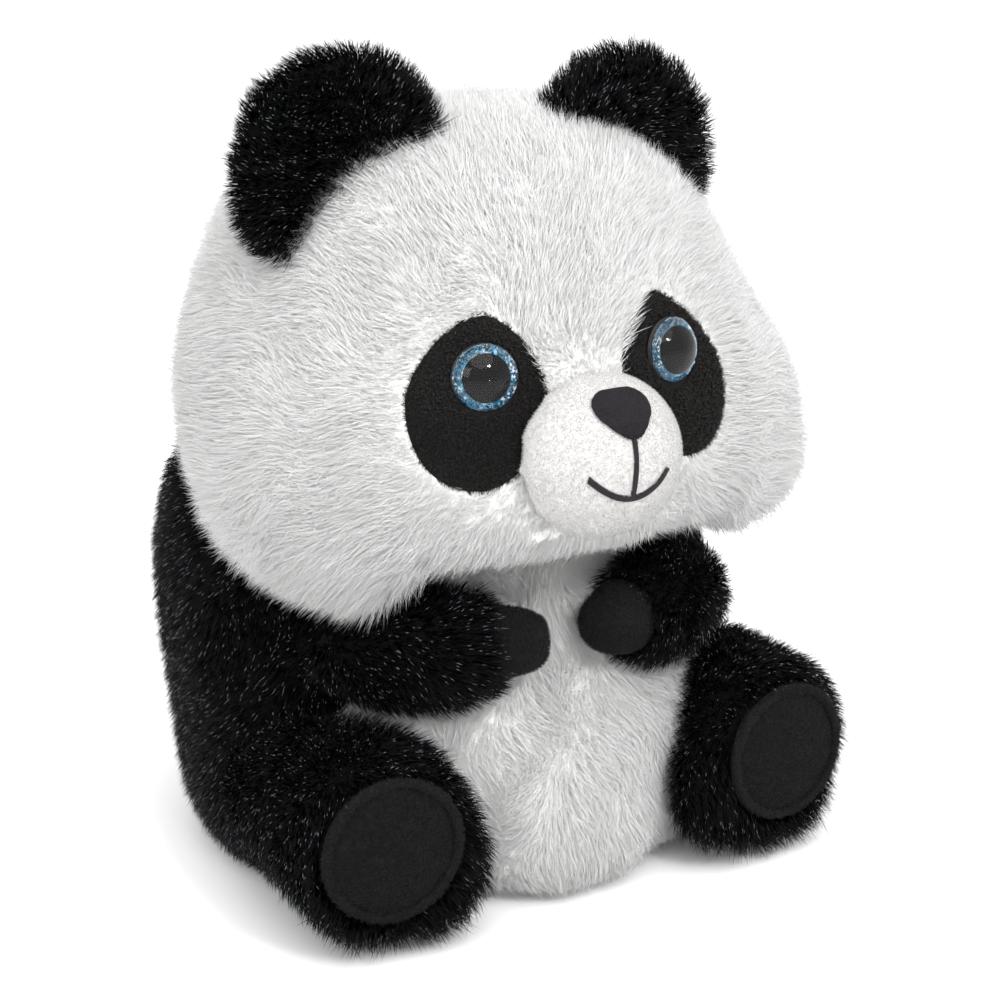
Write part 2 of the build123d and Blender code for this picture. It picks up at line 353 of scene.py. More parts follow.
def strand_material(name, root, tip, shade, painted_glint=None, **sockets):
    """Pile fibre: root and tip colours, the root darker as painted shade deep in the pile, a random
    shade for each strand, and painted glints on a few tips.
    """
    material, tree, shader = new_material(name, **sockets)
    layer = tree.nodes.new("ShaderNodeUVMap")
    layer.uv_map = "OFBake"
    parts = tree.nodes.new("ShaderNodeSeparateXYZ")
    tree.links.new(layer.outputs["UV"], parts.inputs["Vector"])
    # painted shade: each strand darkens from its tip colour to its root colour, standing in for the
    # shade deep in the pile
    along = ramp(tree, parts.outputs["Y"], root, tip, 0.0, 0.8)
    each = ramp(tree, parts.outputs["X"], shade, (1, 1, 1))
    mix = tree.nodes.new("ShaderNodeMix")
    mix.data_type = "RGBA"
    mix.blend_type = "MULTIPLY"
    mix.inputs["Factor"].default_value = 1.0
    tree.links.new(along.outputs["Color"], mix.inputs["A"])
    tree.links.new(each.outputs["Color"], mix.inputs["B"])
    result = mix.outputs["Result"]
    if painted_glint:
        # painted glint: strands whose shade passes 0.90 take a bright colour near the tip, standing in
        # for specular glints on the fibres
        chosen = math_node(tree, "GREATER_THAN", parts.outputs["X"], 0.90)
        painted_glint_band = ramp(tree, parts.outputs["Y"], (0, 0, 0), (1, 1, 1), 0.78, 0.84)
        spot = math_node(tree, "MULTIPLY", chosen, painted_glint_band.outputs["Color"])
        painted_glint_mix = tree.nodes.new("ShaderNodeMix")
        painted_glint_mix.data_type = "RGBA"
        painted_glint_mix.inputs["B"].default_value = (*painted_glint, 1)
        tree.links.new(spot, painted_glint_mix.inputs["Factor"])
        tree.links.new(result, painted_glint_mix.inputs["A"])
        result = painted_glint_mix.outputs["Result"]
    tree.links.new(result, shader.inputs["Base Color"])
    return material


# ---- pile ----

STRANDS_PER_PIECE = 19000
ROUNDNESS = 0.22  # how much of its own roundness a softly shaded strand shows


class Surface:
    """Triangles of a mesh, for scattering points."""

    def __init__(self, mesh):
        mesh.calc_loop_triangles()
        count = len(mesh.loop_triangles)
        corners = np.empty(count * 3, int)
        mesh.loop_triangles.foreach_get("vertices", corners)
        self.corners = corners.reshape(-1, 3)
        self.co = coordinates(mesh)
        normals = np.empty(len(mesh.vertices) * 3)
        mesh.vertices.foreach_get("normal", normals)
        self.normals = normals.reshape(-1, 3)
        a, b, c = (self.co[self.corners[:, k]] for k in range(3))
        self.area = np.linalg.norm(np.cross(b - a, c - a), axis=1) / 2

    def scatter(self, per_mm2, rng):
        """Random points with normals, about per_mm2 of them on each square millimetre."""
        count = int(self.area.sum() * 1e6 * per_mm2)
        chosen = rng.choice(len(self.area), count, p=self.area / self.area.sum())
        weights = rng.dirichlet((1, 1, 1), count)[:, :, None]
        points = (self.co[self.corners[chosen]] * weights).sum(1)
        normals = unit((self.normals[self.corners[chosen]] * weights).sum(1))
        return points, normals


def tangent(directions, normals):
    """Directions laid flat on the surface."""
    return unit(directions - (directions * normals).sum(1, keepdims=True) * normals)


def swirl(points, size, rng):
    """Smooth random directions that change over about size."""
    total = np.zeros_like(points)
    for _ in range(8):
        wave = unit(rng.normal(size=(1, 3))) * 2 * pi / (size * rng.uniform(0.7, 1.6))
        total += rng.normal(size=(1, 3)) * np.sin(points @ wave.T + rng.uniform(0, 2 * pi))
    return total / 2.8


def fade(values, low, high):
    """Smooth step from 0 at low to 1 at high."""
    share = np.clip((values - low) / (high - low), 0, 1)
    return share * share * (3 - 2 * share)


def tufts(points, size, rng):
    """Index of a tuft for each root, from a jittered grid."""
    jitter = points + rng.normal(0, size * 0.2, points.shape) + swirl(points, size * 3, rng) * size
    return np.unique(np.floor(jitter / size).astype(int), axis=0, return_inverse=True)[1].ravel()


def gather(points, tuft, pull):
    """Draw points towards the middle of their tuft."""
    members = np.bincount(tuft)[:, None]
    centre = np.stack([np.bincount(tuft, points[:, k]) for k in range(3)], 1) / members
    return points + (centre[tuft] - points) * pull


def grow(points, normals, flow, pelt, rng, lengths=1.0):
    """Root, knee, tip and width of each fibre of a pelt."""
    count = len(points)
    wild = pelt["wild"]
    flow = tangent(flow, normals) + swirl(points, pelt["swirl"], rng) * pelt["stray"]
    flow = tangent(flow + rng.normal(0, wild, (count, 3)), normals)
    lean = np.clip(pelt["lean"] + rng.normal(0, wild * 0.4, (count, 1)), 0.02, 0.95)
    length = pelt["length"] * MM * rng.uniform(0.65, 1.12, (count, 1)) * lengths
    first = unit(normals * (1 - lean) + flow * lean)
    second = unit(first + flow * pelt["bend"] + rng.normal(0, wild * 0.35, (count, 3)))
    root = points - normals * 0.3 * MM
    keep_above(root, 0.4 * MM)
    knee = root + first * length * 0.5
    tip = knee + second * length * 0.5
    for size, pull in pelt["tufts"]:
        tuft = tufts(points, size * MM, rng)
        tip = gather(tip, tuft, pull)
        knee = gather(knee, tuft, pull * 0.45)
    keep_above(knee, 0.5 * MM)
    keep_above(tip, 0.4 * MM)
    width = pelt["width"] * MM * rng.uniform(0.7, 1.3, (count, 1))
    return root, knee, tip, width


def strand_mesh(name, root, knee, tip, widths, rng, facing=None):
    """Closed three-sided strands that taper to a point; without a knee they are plain needles.

    With facing, the strands are shaded mostly like the surface they grow from.
    """
    count = len(root)
    axis = unit(tip - root)
    side = unit(np.cross(axis, rng.normal(size=(count, 3))))
    other = np.cross(axis, side)
    rings = [(root, 1, 0.02)] + ([] if knee is None else [(knee, 0.8, 0.5)])
    last = 3 * len(rings)
    verts = np.empty((count, last + 1, 3))
    rounded = np.zeros_like(verts)
    heights = []
    for number, (ring, share, height) in enumerate(rings):
        for k in range(3):
            angle = 2 * pi * k / 3
            out = side * cos(angle) + other * sin(angle)
            rounded[:, 3 * number + k] = out
            verts[:, 3 * number + k] = ring + out * widths / 2 * share
            heights.append(height)
    verts[:, last] = tip
    quads = np.array([[0, 1, 4, 3], [1, 2, 5, 4], [2, 0, 3, 5]] * (knee is not None), int)
    a, b, c = last - 3, last - 2, last - 1
    tris = np.array([[a, b, last], [b, c, last], [c, a, last], [2, 1, 0]])
    mesh = fibre_mesh(name, verts, quads.reshape(-1, 4), tris, heights + [0.98], rng)
    if facing is not None:
        soft = unit(facing[:, None, :] + rounded * ROUNDNESS)
        mesh.attributes.new("custom_normal", "FLOAT_VECTOR", "POINT")
        mesh.attributes["custom_normal"].data.foreach_set("vector", soft.ravel())
    return mesh


def fibre_mesh(name, verts, quads, tris, heights, rng):
    """Mesh of many equal fibres; its layer holds each fibre's shade and the way up to the tip."""
    count, size = verts.shape[:2]
    base = np.arange(count)[:, None, None] * size
    quad_loops = (quads[None] + base).reshape(-1)
    tri_loops = (tris[None] + base).reshape(-1)
    loops = np.concatenate([quad_loops, tri_loops])
    mesh = bpy.data.meshes.new(name)
    mesh.vertices.add(count * size)
    mesh.vertices.foreach_set("co", verts.ravel())
    mesh.loops.add(len(loops))
    mesh.loops.foreach_set("vertex_index", loops)
    quad_starts = np.arange(count * len(quads)) * 4
    tri_starts = len(quad_loops) + np.arange(count * len(tris)) * 3
    mesh.polygons.add(len(quad_starts) + len(tri_starts))
    mesh.polygons.foreach_set("loop_start", np.concatenate([quad_starts, tri_starts]))
    mesh.update(calc_edges=True)
    shade = rng.uniform(0.02, 0.98, count)
    layer = mesh.uv_layers.new(name="OFBake")
    across = shade[loops // size] + (loops % size) % 3 * 0.004
    layer.data.foreach_set("uv", np.stack([across, np.array(heights)[loops % size]], 1).ravel())
    return mesh


def lay_pile(name, body, material, strands, rng, facing=None):
    """Strand pieces that ride on a body, few enough strands in each to stay light."""
    root, knee, tip, widths = strands
    order = np.lexsort((root[:, 2], np.arctan2(root[:, 0], root[:, 1]) // 0.9))
    for number, part in enumerate(np.array_split(order, -(-len(order) // STRANDS_PER_PIECE))):
        label = f"{name}_{number + 1}"
        bend = None if knee is None else knee[part]
        soft = None if facing is None else facing[part]
        mesh = strand_mesh(label, root[part], bend, tip[part], widths[part], rng, soft)
        piece = link(label, mesh)
        piece.data.materials.append(material)
        shade_smooth(piece)
        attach(piece, body)


CLUMP_SIZE = 1.5 * MM


def fuzz(name, form, body, velour, seed, keep=None):
    """Short velour pile, nearly upright, drawn into small clumps; lengths in millimetres."""
    rng = np.random.default_rng(seed)
    points, normals = Surface(form.data).scatter(velour["per_mm2"], rng)
    if keep is not None:
        chosen = keep(points, normals)
        points, normals = points[chosen], normals[chosen]
    count = len(points)
    flow = tangent(swirl(points, 0.03, rng) + rng.normal(0, 0.8, (count, 3)), normals)
    length = velour["length"] * MM * rng.uniform(0.5, 1.1, (count, 1))
    tip = points + unit(normals + flow * velour["lean"]) * length
    tip = gather(tip, tufts(points, CLUMP_SIZE, rng), velour["clump"])
    keep_above(tip, 0.2 * MM)
    widths = velour["width"] * MM * rng.uniform(0.7, 1.3, (count, 1))
    root = points - normals * 0.15 * MM
    keep_above(root, 0.2 * MM)
    lay_pile(name, body, velour["material"], (root, None, tip, widths), rng)


# ---- camera, floor and light ----

CAMERA_AZIMUTH, CAMERA_ELEVATION = radians(-30), radians(18)
CAMERA_DISTANCE = 0.64
CAMERA_TARGET = Vector((0.0078, -0.0145, 0.092))
LIGHT_TARGET = Vector((0, -0.02, 0.11))


def make_camera():
    back = Vector(
        (
            sin(CAMERA_AZIMUTH) * cos(CAMERA_ELEVATION),
            -cos(CAMERA_AZIMUTH) * cos(CAMERA_ELEVATION),
            sin(CAMERA_ELEVATION),
        )
    )
    camera = bpy.data.objects.new("camera", bpy.data.cameras.new("camera"))
    camera.location = CAMERA_TARGET + back * CAMERA_DISTANCE
    camera.rotation_euler = back.to_track_quat("Z", "Y").to_euler()
    camera.data.lens = 83.8
    camera.data.sensor_width = 36
    bpy.context.scene.collection.objects.link(camera)
    bpy.context.scene.camera = camera


def area_light(name, location, size, power):
    light = bpy.data.lights.new(name, "AREA")
    light.shape = "RECTANGLE"
    light.size, light.size_y = size
    light.energy = power
    lamp = bpy.data.objects.new(name, light)
    lamp.location = location
    aim = LIGHT_TARGET - Vector(location)
    lamp.rotation_euler = aim.to_track_quat("-Z", "Y").to_euler()
    bpy.context.scene.collection.objects.link(lamp)


FLOOR_SIZE, WORLD_STRENGTH = 6, 1.06
AREA_LIGHTS = {  # place, size in metres and power in watts
    "key": ((0.05, -0.95, 0.85), (0.2, 0.17), 4.8),
    "fill": ((-0.95, -0.35, 0.5), (0.45, 0.45), 1.9),
    "top": ((0.25, 0.45, 1.1), (0.9, 0.7), 1.6),
}


def make_studio():
    bpy.ops.mesh.primitive_plane_add(size=FLOOR_SIZE, location=(0, 0, 0))
    floor = bpy.context.object
    floor.name = "floor"
    material, _, _ = new_material("floor", Base_Color=(0.95, 0.95, 0.95, 1), Roughness=0.95)
    floor.data.materials.append(material)
    world = bpy.data.worlds.new("studio")
    world.use_nodes = True
    background = world.node_tree.nodes["Background"]
    background.inputs["Color"].default_value = (1, 1, 1, 1)
    background.inputs["Strength"].default_value = WORLD_STRENGTH
    bpy.context.scene.world = world
    bpy.context.scene.view_settings.view_transform = "Standard"
    for name, settings in AREA_LIGHTS.items():
        area_light(name, *settings)
    sun = bpy.data.lights.new("sky", "SUN")
    sun.energy = 1.35
    sun.angle = radians(60)
    lamp = bpy.data.objects.new("sky", sun)
    lamp.rotation_euler = (radians(25), radians(-10), 0)
    bpy.context.scene.collection.objects.link(lamp)


make_camera()
make_studio()

# ---- materials of the panda ----

WHITE_BACKING = cloth_material(
    "white_backing", (0.93, 0.925, 0.91), (0.965, 0.96, 0.95), 900, 0.0004, Roughness=0.95
)
BLACK_BACKING = cloth_material(
    "black_backing", (0.001, 0.001, 0.0013), (0.003, 0.003, 0.0036), 900, 0.0004, Roughness=0.9,
    Specular_IOR_Level=0.15
)
# pile materials: the first colour is the root, darker than the tip as painted shade deep in the pile
WHITE_PILE = strand_material(
    "white_pile", (0.93, 0.925, 0.91), (0.975, 0.972, 0.962), (0.97, 0.968, 0.962), Roughness=0.7,
    Subsurface_Weight=0.7, Subsurface_Radius=(1.0, 1.0, 1.0), Subsurface_Scale=0.001
)
# painted glints: a bright colour near the tips of a few black strands
BLACK_PILE = strand_material(
    "black_pile", (0.0005, 0.0005, 0.0006), (0.0028, 0.0031, 0.0040), (0.4, 0.4, 0.4),
    painted_glint=(0.44, 0.48, 0.56), Roughness=0.2, Specular_IOR_Level=0.12
)
VELOUR = cloth_material(
    "muzzle_velour", (0.58, 0.573, 0.562), (0.63, 0.623, 0.612), 1500, 0.0002, Roughness=0.9
)
VELOUR_FUZZ = strand_material(
    "muzzle_fuzz", (0.59, 0.583, 0.572), (0.65, 0.644, 0.634), (0.95, 0.95, 0.95), Roughness=0.8
)
PAD_CLOTH = cloth_material(
    "pad_velour", (0.004, 0.0037, 0.0041), (0.010, 0.0094, 0.0104), 1200, 0.0003, Roughness=0.95,
    Specular_IOR_Level=0.15
)
# painted glints: a bright colour near the tips of a few pad strands
PAD_FUZZ = strand_material(
    "pad_fuzz", (0.001, 0.001, 0.001), (0.029, 0.0272, 0.0294), (0.2, 0.2, 0.2),
    painted_glint=(0.10, 0.10, 0.105), Roughness=0.6, Specular_IOR_Level=0.25
)
PATCH_CLOTH = cloth_material(
    "patch_velour", (0.005, 0.0045, 0.0044), (0.011, 0.0100, 0.0094), 1200, 0.0003, Roughness=0.9,
    Specular_IOR_Level=0.15
)
PATCH_FUZZ = strand_material(
    "patch_fuzz", (0.002, 0.0018, 0.0018), (0.028, 0.0255, 0.0236), (0.4, 0.4, 0.4),
    Roughness=0.45, Specular_IOR_Level=0.35
)
NOSE_CLOTH = cloth_material(
    "nose_cloth", (0.010, 0.0082, 0.0106), (0.020, 0.0165, 0.0212), 2600, 0.0002, Roughness=0.85,
    Specular_IOR_Level=0.2
)
NOSE_FUZZ = strand_material(
    "nose_fuzz", (0.006, 0.005, 0.0065), (0.030, 0.025, 0.032), (0.4, 0.4, 0.4), Roughness=0.7,
    Specular_IOR_Level=0.2
)
THREAD = cloth_material(
    "mouth_thread", (0.009, 0.007, 0.0095), (0.02, 0.016, 0.021), 5000, 0.0001, Roughness=0.6,
    Specular_IOR_Level=0.3
)

# short pile: strands per square millimetre, then length, width (mm), lean and clumping
PATCH_VELOUR = dict(
    slot="patch_velour", material=PATCH_FUZZ, per_mm2=9, length=1.7, width=0.2, lean=0.7, clump=0.45
)
PAD_VELOUR = dict(
    slot="pad_velour", material=PAD_FUZZ, per_mm2=8, length=1.1, width=0.17, lean=0.6, clump=0.45
)
MUZZLE_VELOUR = dict(
    slot="muzzle_velour", material=VELOUR_FUZZ, per_mm2=9, length=0.9, width=0.16, lean=0.8, clump=0.12
)
NOSE_VELOUR = dict(
    slot="nose_cloth", material=NOSE_FUZZ, per_mm2=16, length=0.45, width=0.13, lean=0.9, clump=0.45
)


def weave_material(name, low, high, pitch):
    """Plain woven cloth: crossed waves give the yarns."""
    material, tree, shader = new_material(name, Roughness=0.9)
    place = tree.nodes.new("ShaderNodeTexCoord")
    yarns = []
    for axis in ("X", "Y"):
        wave = tree.nodes.new("ShaderNodeTexWave")
        wave.bands_direction = axis
        wave.inputs["Scale"].default_value = 1 / (pitch * 6.3)
        wave.inputs["Distortion"].default_value = 0.6
        tree.links.new(place.outputs["Object"], wave.inputs["Vector"])
        yarns.append(wave.outputs["Fac"])
    both = math_node(tree, "MULTIPLY", *yarns)
    colour = ramp(tree, both, low, high)
    tree.links.new(colour.outputs["Color"], shader.inputs["Base Color"])
    bump(tree, shader, both, 0.6, 0.0002)
    return material


def plastic_material(name, low, high, **sockets):
    """Moulded plastic with faint mottling."""
    material, tree, shader = new_material(name, **sockets)
    colour = ramp(tree, noise(tree, 300, 2), low, high, 0.3, 0.7)
    tree.links.new(colour.outputs["Color"], shader.inputs["Base Color"])
    return material


def glitter_material():
    """Light blue film full of tiny flakes, each tilted its own way."""
    material, tree, shader = new_material("glitter_film", Metallic=0.75, Roughness=0.25)
    place = tree.nodes.new("ShaderNodeTexCoord")
    flakes = tree.nodes.new("ShaderNodeTexVoronoi")
    flakes.inputs["Scale"].default_value = 1900
    tree.links.new(place.outputs["Object"], flakes.inputs["Vector"])
    split = tree.nodes.new("ShaderNodeSeparateColor")
    tree.links.new(flakes.outputs["Color"], split.inputs["Color"])
    colour = ramp(tree, split.outputs["Red"], (0.006, 0.05, 0.11), (1.0, 1.0, 1.0), 0.0, 0.95)
    middle_stop = colour.color_ramp.elements.new(0.62)
    middle_stop.color = (0.09, 0.36, 0.55, 1)
    tree.links.new(colour.outputs["Color"], shader.inputs["Base Color"])
    tilt = math_node(tree, "SUBTRACT", flakes.outputs["Color"], (0.5, 0.5, 0.5), "VectorMath")
    spread = math_node(tree, "MULTIPLY", tilt, (1.5, 1.5, 1.5), "VectorMath")
    geometry = tree.nodes.new("ShaderNodeNewGeometry")
    facing = math_node(tree, "ADD", geometry.outputs["Normal"], spread, "VectorMath")
    tree.links.new(facing, shader.inputs["Normal"])
    return material


BASE_WEAVE = weave_material("base_weave", (0.004, 0.004, 0.005), (0.016, 0.016, 0.018), 0.0008)
PUPIL = plastic_material(
    "pupil_plastic",
    (0.0008, 0.0008, 0.001),
    (0.002, 0.002, 0.0023),
    Roughness=0.5,
    Specular_IOR_Level=0.05,
)
FITTING = plastic_material("eye_plastic", (0.03, 0.03, 0.03), (0.05, 0.05, 0.05), Roughness=0.45)
LENS = plastic_material(
    "clear_plastic",
    (0.975, 0.98, 0.985),
    (0.995, 1.0, 1.0),
    Roughness=0.02,
    IOR=1.33,
    Transmission_Weight=1.0,
)
GLITTER = glitter_material()

FILM_LIFT = 0.25 * MM


def bond_film(node, material, side):
    """Glitter ring or pupil sunk a little into the back of the lens, so no air lies between."""
    source = frame["nodes"][f"{node}_{side}"]
    film = link(f"{node}_film_{side}", source.data.copy())
    film.matrix_world = source.matrix_world
    facing = unit(np.array(middle(f"eye_lens_{side}") - middle(f"eye_shank_{side}")))
    film.data.transform(Matrix.Translation(Vector(facing * FILM_LIFT)))
    skin(film, "head", material, [f"{node}_{side}"])


for side in SIDES:
    bond_film("eye_glitter", GLITTER, side)
    bond_film("eye_pupil", PUPIL, side)
    for node, material in (
        ("eye_lens", LENS),
        ("eye_shank", FITTING),
        ("eye_washer", FITTING),
    ):
        frame["nodes"][f"{node}_{side}"].data.materials.clear()
        frame["nodes"][f"{node}_{side}"].data.materials.append(material)

# ---- stuffed forms ----

HEAD_NODES = ["head_left_panel", "head_right_panel", "head_back_panel", "head_stuffing"]
TORSO_NODES = ["torso_back_panel", "belly_panel", "torso_stuffing"]
MUZZLE_CENTRE = np.array(middle("muzzle_cover"))
BELLY_SEAM = (0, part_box("belly_panel")[1].y, 0)
BACK = np.array([0.0, 1.0, 0.0])


def settle(co):
    """Cheeks that hang a little, both a little towards the left, as a soft head settles."""
    x, z = co[:, 0], co[:, 2]
    side = fade(np.abs(x), 0.03, 0.08)
    low = fade(-z, -0.150, -0.100)
    moved = co.copy()
    moved[:, 0] += side * np.where(x > 0, 4 + 4.5 * low, 7.5 * low) * MM
    droop = fade(np.abs(x), 0.038, 0.06) * np.where(x > 0, 4, 9)
    chin = 6 * fade(-co[:, 1], 0.025, 0.06) * (1 - fade(np.abs(x), 0.040, 0.062))
    moved[:, 2] += (chin * fade(-z, -0.112, -0.085) - droop * low) * MM
    return moved


head = padded_form(
    "head_skin", HEAD_NODES, voxel=5 * MM, shrink=1.5 * MM, pressure=4, cap=6 * MM, rounds=6
)
set_coordinates(head.data, settle(coordinates(head.data)))
groove(head, (0, 0, 0), (1, 0, 0), depth=0.5 * MM, width=3 * MM)
groove(head, (0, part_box("head_back_panel")[0].y, 0), BACK, depth=0.5 * MM, width=3 * MM)
skin(head, "head", WHITE_BACKING, HEAD_NODES)

MUZZLE_NODES = ["muzzle_cover", "muzzle_stuffing"]
muzzle = padded_form(
    "muzzle_skin", MUZZLE_NODES, voxel=1.8 * MM, shrink=0.5 * MM, pressure=3, cap=1.5 * MM, rounds=4
)
skin(muzzle, "head", VELOUR, MUZZLE_NODES)

torso = padded_form(
    "torso_back_skin", TORSO_NODES, voxel=5 * MM, shrink=1.0 * MM, pressure=4, cap=5 * MM, rounds=3
)
groove(torso, BELLY_SEAM, BACK, depth=1.2 * MM, width=3.5 * MM)


def hollow_beside_feet(co):
    """Belly drawn in low down where the feet press against it, and nothing below the floor."""
    hollow = fade(np.abs(co[:, 0]), 0.008, 0.026) * fade(-co[:, 1], 0.035, 0.05)
    hollow *= fade(-co[:, 2], -0.045, -0.02)
    moved = co.copy()
    moved[:, 1] += 5 * MM * hollow
    keep_above(moved, 0.2 * MM)
    return moved


set_coordinates(torso.data, hollow_beside_feet(coordinates(torso.data)))
torso_surface = Surface(torso.data)
whole_torso = link("whole_torso", torso.data.copy())
belly = cut(torso, "belly_skin", BELLY_SEAM, -BACK)
skin(torso, "torso", BLACK_BACKING, TORSO_NODES[:1] + ["torso_stuffing"])
skin(belly, "torso", WHITE_BACKING, ["belly_panel", "pellet_bag"])

base = closed_form("base_skin", ["base_panel"], 1.0 * MM)
base_centre = np.array(middle("base_panel"))
tucked = np.array([0.93, 0.92, 1.0])
co = base_centre + (coordinates(base.data) - base_centre) * tucked
set_coordinates(base.data, hollow_beside_feet(co) * np.array([1, 1, 0.9]))
skin(base, "torso", BASE_WEAVE, ["base_panel"])

# ---- pile of the head and torso ----

WHITE_PELT = {
    "length": 7.6,
    "width": 0.20,
    "lean": 0.6,
    "bend": 0.2,
    "wild": 0.34,
    "swirl": 0.022,
    "stray": 0.6,
    "tufts": [(2.2, 0.18), (7.0, 0.15)],
}
BLACK_PELT = {
    "length": 7.5,
    "width": 0.24,
    "lean": 0.48,
    "bend": 0.3,
    "wild": 0.42,
    "swirl": 0.025,
    "stray": 0.5,
    "tufts": [(2.2, 0.4), (5.0, 0.2)],
}

# ---- eye patches ----

PATCH_STEPS, PATCH_RINGS = 48, 9
PATCH_LONG, PATCH_SHORT, PATCH_LEAN = 22 * MM, 18.3 * MM, radians(5)
# powers for a quarter of the outline, outer or inner and upper or lower: 2 is an ellipse
PATCH_POWERS = {(1, 1): 1.5, (1, -1): 2.15, (-1, 1): 1.7, (-1, -1): 1.85}


def patch_plane(side):
    """Centre, across, up and facing direction of an eye patch, set out from its eye."""
    facing = flat_normal(cloud(f"eye_patch_{side}"), (0, -1, 0))
    up = unit(np.array([0.0, 0.0, 1.0]) - facing * facing[2])
    across = np.cross(up, facing)
    lens = np.array(middle(f"eye_lens_{side}"))
    return lens + across * SIDES[side] * 1.8 * MM - up * 5.4 * MM, across, up, facing


def patch_edge(side, angle):
    """Outline of the patch, a rounded leaf with its sharper corner towards the nose."""
    right, above = (1 if cos(angle) > 0 else -1), (1 if sin(angle) > 0 else -1)
    power = 2 / PATCH_POWERS[right, above]
    x = abs(cos(angle)) ** power * right * PATCH_SHORT
    y = abs(sin(angle)) ** power * above * PATCH_LONG
    turned = x * cos(PATCH_LEAN) - y * sin(PATCH_LEAN)
    return turned * SIDES[side], x * sin(PATCH_LEAN) + y * cos(PATCH_LEAN)


head_tree = surface_tree(head)
muzzle_tree = surface_tree(muzzle)


def patch_share(side, points):
    """How far out in the patch each point is: below 1 is inside its outline."""
    centre, across, up, facing = patch_plane(side)
    offset = points - centre
    x, y = offset @ across, offset @ up
    angle = np.arctan2(y, x)
    table = np.linspace(-pi, pi, 181)
    rim = np.array([patch_edge(side, a) for a in table])
    rim_angle = np.arctan2(rim[:, 1], rim[:, 0])
    rim_radius = np.hypot(rim[:, 0], rim[:, 1])
    order = np.argsort(rim_angle)
    reach = np.interp(angle, rim_angle[order], rim_radius[order], period=2 * pi)
    share = np.hypot(x, y) / reach
    share[np.abs(offset @ facing) > 0.03] = 9
    return share


def make_patch(side):
    """Velour sheet laid on the face, with a turned edge."""
    centre, across, up, facing = patch_plane(side)
    work = bmesh.new()
    layers = []
    for lift in (1.3 * MM, -1.5 * MM):
        rings = []
        for ring in range(PATCH_RINGS + 1):
            share = ring / PATCH_RINGS
            turned = 0.8 * MM * max(0, share - 0.85) / 0.15 if lift > 0 else 0
            row = []
            for step in range(PATCH_STEPS if ring else 1):
                x, y = patch_edge(side, 2 * pi * step / PATCH_STEPS)
                flat = centre + (across * x + up * y) * share
                start = Vector(flat + facing * 0.05)
                place, normal, _, _ = head_tree.ray_cast(start, Vector(-facing))
                if place is None:
                    place, normal, _, _ = head_tree.find_nearest(Vector(flat))
                row.append(work.verts.new(place + normal * (lift - turned)))
            rings.append(row)
        layers.append(rings)
    for rings, flip in ((layers[0], False), (layers[1], True)):
        for ring in range(PATCH_RINGS):
            for step in range(PATCH_STEPS):
                nxt = (step + 1) % PATCH_STEPS
                if ring == 0:
                    corners = [rings[0][0], rings[1][step], rings[1][nxt]]
                else:
                    corners = [rings[ring][step], rings[ring + 1][step]]
                    corners += [rings[ring + 1][nxt], rings[ring][nxt]]
                work.faces.new(corners[::-1] if flip else corners)
    for step in range(PATCH_STEPS):
        nxt = (step + 1) % PATCH_STEPS
        top, under = layers[0][-1], layers[1][-1]
        work.faces.new([top[step], under[step], under[nxt], top[nxt]])
    bmesh.ops.recalc_face_normals(work, faces=work.faces)
    patch = piece_from(work, f"eye_patch_skin_{side}")
    apply_modifier(patch, "SUBSURF", levels=1, render_levels=1)
    shade_smooth(patch)
    skin(patch, "head", PATCH_CLOTH, [f"eye_patch_{side}"])
    lens = middle(f"eye_lens_{side}")

    def beside_eye(points, normals):
        clear = np.linalg.norm(points - np.array(lens), axis=1) > 9.3 * MM
        outer = (normals @ facing > 0.1) | (patch_share(side, points) > 0.9)
        return clear & outer & ~inside(muzzle, points)

    seed = 21 + SIDES[side]
    fuzz(f"eye_patch_fuzz_{side}", patch, "head", PATCH_VELOUR, seed, beside_eye)


for side in SIDES:
    make_patch(side)

# ---- ears ----

EAR_WIDE = {"left": 24.5 * MM, "right": 26.5 * MM}
EAR_TALL, EAR_THICK = 26 * MM, 5.2 * MM
EAR_SHIFT = {"left": (-7 * MM, -6.5 * MM), "right": (1 * MM, -2.5 * MM)}  # outward and up


def make_ear(side, seed):
    """Two-sided disc, cupped a little forward, whose long black pile gathers into spikes."""
    nodes = [f"ear_front_{side}", f"ear_back_{side}"]
    joint = JOINTS[f"ear_{side}_flex"]
    pivot = np.array(joint["pos_m"])
    along = np.array(joint["axis"])
    up = np.array([-joint["axis"][2], 0, joint["axis"][0]])
    facing = flat_normal(cloud(*nodes), (0, -1, 0))
    outward, rise = EAR_SHIFT[side]
    centre = pivot + up * 1.5 * MM + np.array([outward * SIDES[side], 4 * MM, rise])
    work = bmesh.new()
    bmesh.ops.create_icosphere(work, subdivisions=5, radius=1)
    ear = piece_from(work, f"ear_skin_{side}")
    ball = coordinates(ear.data)
    out = np.hypot(ball[:, 0], ball[:, 2])
    thick = np.sign(ball[:, 1]) * np.abs(ball[:, 1]) ** 0.75 * (0.7 + 0.3 * out ** 2)
    cup = 3.5 * MM * out ** 2
    co = centre + np.outer(ball[:, 0] * EAR_WIDE[side], along) + np.outer(ball[:, 2] * EAR_TALL, up)
    co += np.outer(thick * EAR_THICK + cup, facing)
    set_coordinates(ear.data, co)
    if np.dot(np.cross(along, facing), up) < 0:
        ear.data.flip_normals()
    pressurise(ear, 1.5, 1.2 * MM)
    relax(ear, 2)
    shade_smooth(ear)
    skin(ear, f"ear_{side}", BLACK_BACKING, nodes)
    rng = np.random.default_rng(seed)
    points, normals = Surface(ear.data).scatter(3.6, rng)
    pelt = dict(BLACK_PELT, length=9.5, lean=0.42, bend=0.25)
    pelt["tufts"] = [(3.0, 0.6), (6.0, 0.2)]
    hidden = inside(head, points, 1 * MM, normals)
    points, normals = points[~hidden], normals[~hidden]
    outward = points - centre + up * 10 * MM
    strands = grow(points, normals, unit(outward), pelt, rng)
    lay_pile(f"ear_pile_{side}", f"ear_{side}", BLACK_PILE, strands, rng)
    return ear


ears = {side: make_ear(side, 31 + k) for k, side in enumerate(SIDES)}

# ---- head pile ----


